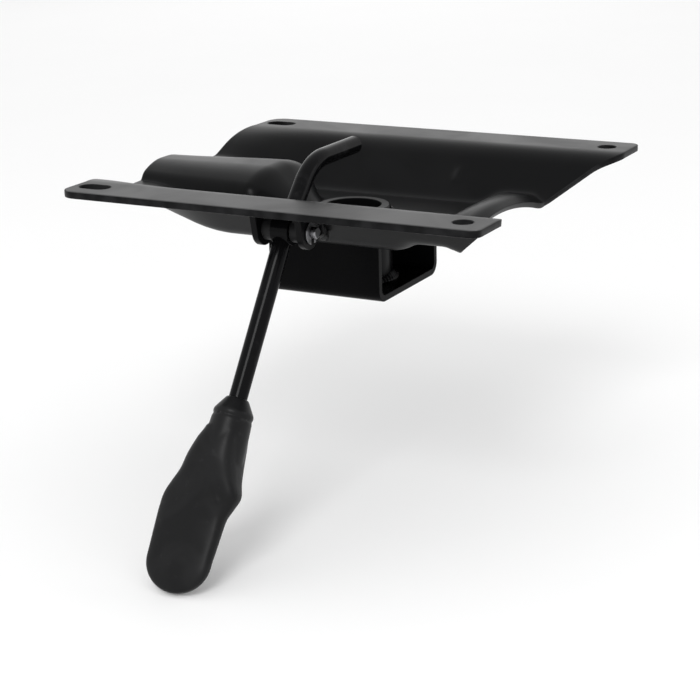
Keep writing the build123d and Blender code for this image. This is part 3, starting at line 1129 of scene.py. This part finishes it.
def hole_cutter(
    centre: tuple[float, float],
    size: tuple[float, float],
    corner: float,
    levels: Sequence[tuple[float, float]],
    segments: int = 64,
) -> bpy.types.Object:
    """Makes the cutter of a hole: a circle, a slot or a rectangle with rounded corners.

    Args:
        centre: Middle of the hole, in plan.
        size: Its size along X and Y.
        corner: Radius of its corners.
        levels: Heights from low to high, each with how much wider the cutter is there.
        segments: Number of sides.

    Returns:
        The cutter.
    """
    shape = bmesh.new()
    outward = shape.verts.layers.float_vector.new("outward")
    turn = Matrix.Rotation(pi / segments, 4, "Z")
    bmesh.ops.create_circle(shape, cap_ends=False, segments=segments, radius=1.0, matrix=turn)
    for vertex in shape.verts:
        vertex[outward] = vertex.co
    edges = list(shape.edges)
    for index, (height, flare) in enumerate(levels):
        if index:
            made = bmesh.ops.extrude_edge_only(shape, edges=edges)["geom"]
            edges = [item for item in made if isinstance(item, bmesh.types.BMEdge)]
        for vertex in {vertex for edge in edges for vertex in edge.verts}:
            way = vertex[outward]
            x = centre[0] + copysign(size[0] / 2 - corner, way.x) + way.x * (corner + flare)
            y = centre[1] + copysign(size[1] / 2 - corner, way.y) + way.y * (corner + flare)
            vertex.co = Vector((x, y, height))
    bmesh.ops.holes_fill(shape, edges=shape.edges)
    bmesh.ops.recalc_face_normals(shape, faces=shape.faces)
    return loose_object(shape, "cutter")


@dataclass
class FinishedPart:
    """A part whose shape is the frame's own, with its outer corners broken."""

    node: str
    name: str
    finish: Finish
    body: Body = Body.FRAME
    corner: float = 0.0003
    sharp: float = 30.0
    worn_angle: float = 30.0
    segments: int = 2

    def build(self) -> bpy.types.Object:
        """Copies, rounds and dresses the part.

        Returns:
            The piece.
        """
        shape = copy_of(self.node)
        bmesh.ops.bevel(
            shape,
            geom=[edge for edge in shape.edges if is_outer_corner(edge, self.sharp)],
            offset=self.corner,
            offset_type="OFFSET",
            segments=self.segments,
            profile=0.5,
            affect="EDGES",
            clamp_overlap=True,
            material=-1,
        )
        piece = make_piece(shape, self.name, self.body, self.finish, self.node, self.worn_angle)
        even = piece.modifiers.new("even_shading", "WEIGHTED_NORMAL")
        even.mode = "FACE_AREA"
        even.keep_sharp = True
        return piece


class Run(Enum):
    """How a weld bead runs."""

    ROUND = "round"
    ALONG_X = "along_x"
    ALONG_Y = "along_y"


@dataclass
class WeldBeads:
    """Weld beads with the scallops that each stop of the torch leaves, about a middle line."""

    node: str
    name: str
    run: Run
    line: float
    pitch: float = 0.0021
    height: float = 0.00042
    sink: float = 0.6
    bow: float = 180.0
    waver: float = 0.00022
    long_wave: float = 0.0047
    short_wave: float = 0.0021
    short_shift: float = 1.3
    short_share: float = 0.6
    unevenness: float = 0.12
    rubbed: float = 0.3
    grain: float = 0.00042
    smoothing: int = 4

    def ripple(self, spot: Vector) -> float:
        """Gives the height of the scallops at a place on a bead.

        Args:
            spot: The place.

        Returns:
            The height over the plain bead.
        """
        if self.run is Run.ROUND:
            along = atan2(spot.y, spot.x) * spot.xy.length
            side = spot.xy.length
        else:
            along, side = spot.xy if self.run is Run.ALONG_X else spot.yx
        across = abs(side) - self.line
        wander = sin(along / self.long_wave)
        wander += self.short_share * sin(along / self.short_wave + self.short_shift)
        step = ((along + self.bow * across**2) / self.pitch + self.unevenness * wander) % 1.0
        scallop = sqrt(max(1 - (2 * step - 1) ** 2, 0.0)) - self.sink
        return self.height * scallop + self.waver * wander

    def build(self) -> bpy.types.Object:
        """Copies the beads, refines them, presses in the scallops and dresses them.

        Returns:
            The piece.
        """
        piece = make_piece(copy_of(self.node), self.name, Body.FRAME, WELD_PAINT, self.node)
        refine = piece.modifiers.new("refine", "REMESH")
        refine.mode = "VOXEL"
        refine.voxel_size = self.grain
        settle(piece, MOULDED_CREASE)
        shape = bmesh.new()
        shape.from_mesh(piece.data)
        axes = {"use_axis_x": True, "use_axis_y": True, "use_axis_z": True}
        for _ in range(self.smoothing):
            bmesh.ops.smooth_vert(shape, verts=shape.verts, factor=0.5, **axes)
        shape.normal_update()
        moves = {vertex: vertex.normal * self.ripple(vertex.co) for vertex in shape.verts}
        for vertex, move in moves.items():
            vertex.co += move
        layer = wear_layer(shape)
        for vertex in shape.verts:
            vertex[layer] = held(self.ripple(vertex.co) / self.height + self.rubbed)
        shape.to_mesh(piece.data)
        shape.free()
        return piece


@dataclass(frozen=True)
class Station:
    """Cross-section of the paddle: place down the rod's line, two edges and thickness."""

    at: float
    left: float
    right: float
    thickness: float


def curve(values: Sequence[float], share: float) -> float:
    """Finds a place on the Catmull-Rom curve through the middle two of four values.

    Args:
        values: The four values.
        share: Share of the way from the second to the third.

    Returns:
        The value there.
    """
    before, first, second, after = values
    slope_in = (second - before) / 2
    slope_out = (after - first) / 2
    rise = first - second
    cubic = 2 * rise + slope_in + slope_out
    square = -3 * rise - 2 * slope_in - slope_out
    return ((cubic * share + square) * share + slope_in) * share + first


def between(stations: Sequence[Station], at: float) -> Station:
    """Gives the cross-section at a place between stations, on a smooth curve through them.

    Args:
        stations: The stations in order.
        at: The place.

    Returns:
        The cross-section.
    """
    last = len(stations) - 1
    index = max(i for i in range(last) if stations[i].at <= at + TINY * MILLIMETRE)
    around = [stations[min(max(index + step, 0), last)] for step in (-1, 0, 1, 2)]
    share = (at - around[1].at) / (around[2].at - around[1].at)
    left = curve([station.left for station in around], share)
    right = curve([station.right for station in around], share)
    return Station(at, left, right, curve([station.thickness for station in around], share))


@dataclass
class LeverGrip:
    """Moulded paddle grip with its collared sleeve, and the rib that covers the rod's end.

    Places are distances down the rod's line from the pivot, the sleeve's each with a radius.
    """

    pivot: Vector = field(default_factory=lambda: Vector((0.0, -0.0625, 0.039)))
    lean: float = radians(1.6)
    hang: float = radians(57.3)
    mouth: tuple[float, float] = (0.076, 0.00475)
    collar: tuple[float, float] = (0.0822, 0.0087)
    groove: tuple[float, float] = (0.0845, 0.0080)
    groove_width: float = 0.0011
    sleeve_end: tuple[float, float] = (0.1035, 0.0098)
    stations: tuple[Station, ...] = (
        Station(0.0900, -0.0086, 0.0078, 0.0168),
        Station(0.0960, -0.0112, 0.0085, 0.0186),
        Station(0.1035, -0.0138, 0.0095, 0.0190),
        Station(0.1105, -0.0160, 0.0113, 0.0158),
        Station(0.1168, -0.0195, 0.0136, 0.0122),
        Station(0.1215, -0.0215, 0.0122, 0.0103),
        Station(0.1270, -0.0220, 0.0101, 0.0092),
        Station(0.1350, -0.0219, 0.0096, 0.0083),
        Station(0.1480, -0.0215, 0.0090, 0.0075),
    )
    tip: float = 0.1615
    tip_thickness: float = 0.005
    tip_bluntness: float = 0.25
    oval: float = 0.62
    sleeve_sides: int = 72
    loop_points: int = 48
    loop_step: float = 0.0012
    tip_loops: int = 14
    rib_start: float = 0.099
    rib_end: float = 0.1195
    rib_radius: float = 0.0094
    rib_end_radius: float = 0.0046
    rib_over: float = 0.0052
    rib_lift: float = 0.0009
    rib_rings: int = 28
    voxel: float = 0.00046
    smoothing: int = 10

    def along(self) -> Vector:
        """Direction in which the rod hangs."""
        level, down = cos(self.hang), sin(self.hang)
        return Vector((-sin(self.lean), -cos(self.lean) * level, -cos(self.lean) * down))

    def face(self) -> Vector:
        """Direction that the paddle's outer face looks in."""
        return Vector((0.0, -sin(self.hang), cos(self.hang)))

    def axes(self) -> Matrix:
        """Turns places given across, along and out of the paddle's face into the frame's.

        Returns:
            The transform.
        """
        along = self.along()
        face = self.face()
        turn = Matrix((face.cross(along), along, face)).transposed()
        return Matrix.Translation(self.pivot) @ turn.to_4x4()

    def sleeve(self) -> bmesh.types.BMesh:
        """Spins the sleeve with its conical collar and the groove under it.

        Returns:
            The closed sleeve.
        """
        shape = bmesh.new()
        half = self.groove_width / 2
        groove_at, groove_radius = self.groove
        profile = (
            (self.mouth[0], 0.0),
            self.mouth,
            self.collar,
            (groove_at - half, self.collar[1]),
            (groove_at - half / 2, groove_radius),
            (groove_at + half / 2, groove_radius),
            (groove_at + half, self.collar[1]),
            self.sleeve_end,
            (self.sleeve_end[0], 0.0),
        )
        corners = [shape.verts.new((radius, at, 0.0)) for at, radius in profile]
        edges = [shape.edges.new(pair) for pair in zip(corners, corners[1:])]
        bmesh.ops.spin(
            shape,
            geom=corners + edges,
            cent=(0, 0, 0),
            axis=(0, 1, 0),
            angle=2 * pi,
            steps=self.sleeve_sides,
            use_merge=True,
            use_normal_flip=False,
        )
        bmesh.ops.remove_doubles(shape, verts=shape.verts, dist=0.001 * MILLIMETRE)
        return shape

    def loop(self, shape: bmesh.types.BMesh, station: Station) -> list[bmesh.types.BMEdge]:
        """Adds one flattened oval to the paddle.

        Args:
            shape: The paddle so far.
            station: The cross-section.

        Returns:
            The oval's edges.
        """
        sides = self.loop_points
        circle = bmesh.ops.create_circle(shape, cap_ends=False, segments=sides, radius=1.0)
        made = circle["verts"]
        middle = (station.left + station.right) / 2
        half = (station.right - station.left) / 2
        for vertex in made:
            across, out = vertex.co.x, vertex.co.y
            side = copysign(abs(across) ** self.oval, across) * half
            height = copysign(abs(out) ** self.oval, out) * station.thickness / 2
            vertex.co = Vector((middle + side, station.at, height))
        return list(dict.fromkeys(edge for vertex in made for edge in vertex.link_edges))

    def paddle(self) -> bmesh.types.BMesh:
        """Bridges ovals from the neck to the rounded tip.

        Returns:
            The closed paddle.
        """
        shape = bmesh.new()
        first, last = self.stations[0], self.stations[-1]
        count = ceil((last.at - first.at) / self.loop_step)
        places = [blend(first.at, last.at, step / count) for step in range(count + 1)]
        sections = [between(self.stations, at) for at in places]
        middle = (last.left + last.right) / 2
        for step in range(1, self.tip_loops):
            angle = pi / 2 * step / self.tip_loops
            half = (last.right - last.left) / 2 * cos(angle)
            thickness = blend(last.thickness, self.tip_thickness, sin(angle) ** 2)
            thickness *= cos(angle) ** self.tip_bluntness
            at = blend(last.at, self.tip, sin(angle))
            sections.append(Station(at, middle - half, middle + half, thickness))
        loops = [self.loop(shape, section) for section in sections]
        for low, high in zip(loops, loops[1:]):
            bmesh.ops.bridge_loops(shape, edges=low + high)
        bmesh.ops.holes_fill(shape, edges=shape.edges)
        bmesh.ops.recalc_face_normals(shape, faces=shape.faces)
        return shape

    def rib(self) -> bmesh.types.BMesh:
        """Stretches a ball to a tapered capsule, the fairing over the rod's end.

        Returns:
            The closed rib.
        """
        shape = bmesh.new()
        sides, rings = self.loop_points, self.rib_rings
        bmesh.ops.create_uvsphere(shape, u_segments=sides, v_segments=rings, radius=1.0)
        start = Vector((0.0, self.rib_start, 0.0))
        end = Vector((self.rib_over, self.rib_end, self.rib_lift))
        turn = (end - start).to_track_quat("Z", "Y").to_matrix()
        for vertex in shape.verts:
            ahead = vertex.co.z > TINY
            radius = self.rib_end_radius if ahead else self.rib_radius
            vertex.co = (end if ahead else start) + turn @ (vertex.co * radius)
        return shape

    def build(self) -> bpy.types.Object:
        """Moulds sleeve, paddle and rib into one shape and dresses it.

        Returns:
            The piece.
        """
        shape = bmesh.new()
        for part in (self.sleeve(), self.paddle(), self.rib()):
            bmesh.ops.recalc_face_normals(part, faces=part.faces)
            loose = bpy.data.meshes.new("loose")
            part.to_mesh(loose)
            part.free()
            shape.from_mesh(loose)
            bpy.data.meshes.remove(loose)
        bmesh.ops.transform(shape, matrix=self.axes(), verts=shape.verts)
        bmesh.ops.recalc_face_normals(shape, faces=shape.faces)
        grip = make_piece(shape, "paddle_grip", Body.LEVER, GRIP_PLASTIC, "lever_grip")
        mould = grip.modifiers.new("mould", "REMESH")
        mould.mode = "VOXEL"
        mould.voxel_size = self.voxel
        soften = grip.modifiers.new("soften", "SMOOTH")
        soften.factor = 0.5
        soften.iterations = self.smoothing
        settle(grip, MOULDED_CREASE)
        return grip


@dataclass
class Camera:
    """Camera at the photograph's viewing angle."""

    place: tuple[float, float, float] = (0.378011, -0.708902, 0.219952)
    forward: tuple[float, float, float] = (-0.452129, 0.839800, -0.300525)
    up: tuple[float, float, float] = (-0.119949, 0.276622, 0.953463)
    lens: float = 92.0
    sensor: float = 36.0
    nearest: float = 0.01
    farthest: float = 50.0

    def build(self) -> None:
        """Makes the camera, turns it and gives it to the scene."""
        data = bpy.data.cameras.new("camera")
        data.sensor_width = self.sensor
        data.sensor_fit = "HORIZONTAL"
        data.lens = self.lens
        data.clip_start = self.nearest
        data.clip_end = self.farthest
        camera = bpy.data.objects.new("camera", data)
        bpy.context.scene.collection.objects.link(camera)
        backward = -Vector(self.forward).normalized()
        right = Vector(self.up).cross(backward).normalized()
        axes = Matrix((right, backward.cross(right), backward)).transposed()
        camera.matrix_world = Matrix.Translation(self.place) @ axes.to_4x4()
        bpy.context.scene.camera = camera


@dataclass(frozen=True)
class Lamp:
    """A soft area lamp that is aimed at the part."""

    name: str
    place: tuple[float, float, float]
    size: float
    power: float

    def build(self, aim: Vector) -> None:
        """Makes the lamp and turns it.

        Args:
            aim: The place that it is turned to.
        """
        data = bpy.data.lights.new(self.name, "AREA")
        data.shape = "DISK"
        data.size = self.size
        data.energy = self.power
        lamp = bpy.data.objects.new(self.name, data)
        lamp.visible_camera = False
        bpy.context.scene.collection.objects.link(lamp)
        lamp.location = self.place
        lamp.rotation_euler = (aim - Vector(self.place)).to_track_quat("-Z", "Y").to_euler()


@dataclass
class Studio:
    """Pale floor, white surroundings and soft lamps."""

    floor_gap: float = 0.0006
    floor_radius: float = 6.0
    floor_sides: int = 96
    floor_colour: Colour = (0.90, 0.90, 0.90)
    floor_shade: float = 0.985
    floor_roughness: float = 0.9
    mottle: Pattern = Pattern(0.12, 3.0)
    white: Colour = (1.0, 1.0, 1.0)
    daylight: float = 0.92
    lamps: tuple[Lamp, ...] = (
        Lamp("rear", (-0.98, 1.85, 0.80), 1.5, 2.0),
        Lamp("front", (0.34, -1.55, 1.30), 0.80, 17.0),
        Lamp("side", (1.9, 0.9, 0.7), 1.0, 3.0),
    )

    def floor(self, height: float) -> None:
        """Lays the floor.

        Args:
            height: Its height.
        """
        shape = bmesh.new()
        sides, radius = self.floor_sides, self.floor_radius
        bmesh.ops.create_circle(shape, cap_ends=True, segments=sides, radius=radius)
        bmesh.ops.translate(shape, verts=shape.verts, vec=(0, 0, height))
        floor = loose_object(shape, "floor")
        recipe = Recipe(bpy.data.materials.new("floor"))
        mottle = recipe.noise(recipe.place(), self.mottle)
        shaded = tuple(value * self.floor_shade for value in self.floor_colour)
        colour = recipe.mix(mottle, self.floor_colour, shaded)
        floor.data.materials.append(recipe.close(colour, self.floor_roughness))
        floor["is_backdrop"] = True

    def sky(self) -> None:
        """Surrounds the part with a white that the camera and reflections see."""
        recipe = Recipe(bpy.data.worlds.new("surroundings"))
        rays = recipe.node("ShaderNodeLightPath", {}, {})
        seen = rays.beside("Is Camera Ray").greater(rays.beside("Is Glossy Ray"))
        seen = seen.greater(rays.beside("Is Transmission Ray"))
        strength = recipe.node("ShaderNodeMix", {}, {"Factor": seen, "A": self.daylight, "B": 1.0})
        feeds = {"Color": (*self.white, 1.0), "Strength": strength}
        light = recipe.node("ShaderNodeBackground", {}, feeds)
        recipe.node("ShaderNodeOutputWorld", {}, {"Surface": light})
        bpy.context.scene.world = recipe.owner

    def build(self) -> None:
        """Sets up the studio round the part."""
        low, high = (Vector(corner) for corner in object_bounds())
        self.floor(low.z - self.floor_gap)
        self.sky()
        for lamp in self.lamps:
            lamp.build((low + high) / 2)
        bpy.context.scene.view_settings.view_transform = "Standard"


PARTS = (
    FinishedPart("box_bracket", "folded_bracket", SHADED_BRACKET_COAT),
    FinishedPart("taper_socket", "lift_socket", POWDER_COAT),
    FinishedPart("pivot_lugs", "lever_lugs", POWDER_COAT, corner=0.00025),
    FinishedPart("pivot_pin", "lever_pin", BRIGHT_ZINC, corner=0.0004),
    FinishedPart("pivot_clip", "pin_clip", BRIGHT_ZINC, corner=0.00012),
    FinishedPart("pivot_spacers", "eye_spacers", SPACER_NYLON, corner=0.0003),
    FinishedPart("lever_rod", "bent_rod", ROD_ENAMEL, Body.LEVER, corner=0.0004),
)

BEADS = (
    WeldBeads("socket_welds", "socket_beads", Run.ROUND, 0.0175),
    WeldBeads("bracket_welds", "bracket_beads", Run.ALONG_X, 0.0305),
    WeldBeads("lug_welds", "lug_beads", Run.ALONG_Y, 0.0125),
)


def main() -> None:
    """Builds every piece, the studio and the camera."""
    logging.basicConfig(level=logging.INFO)
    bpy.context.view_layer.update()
    for maker in (PressedPlate(), *PARTS, *BEADS, LeverGrip()):
        piece = maker.build()
        LOG.info("%s: %d faces", piece.name, len(piece.data.polygons))
    Studio().build()
    Camera().build()


if __name__ == "__main__":
    main()
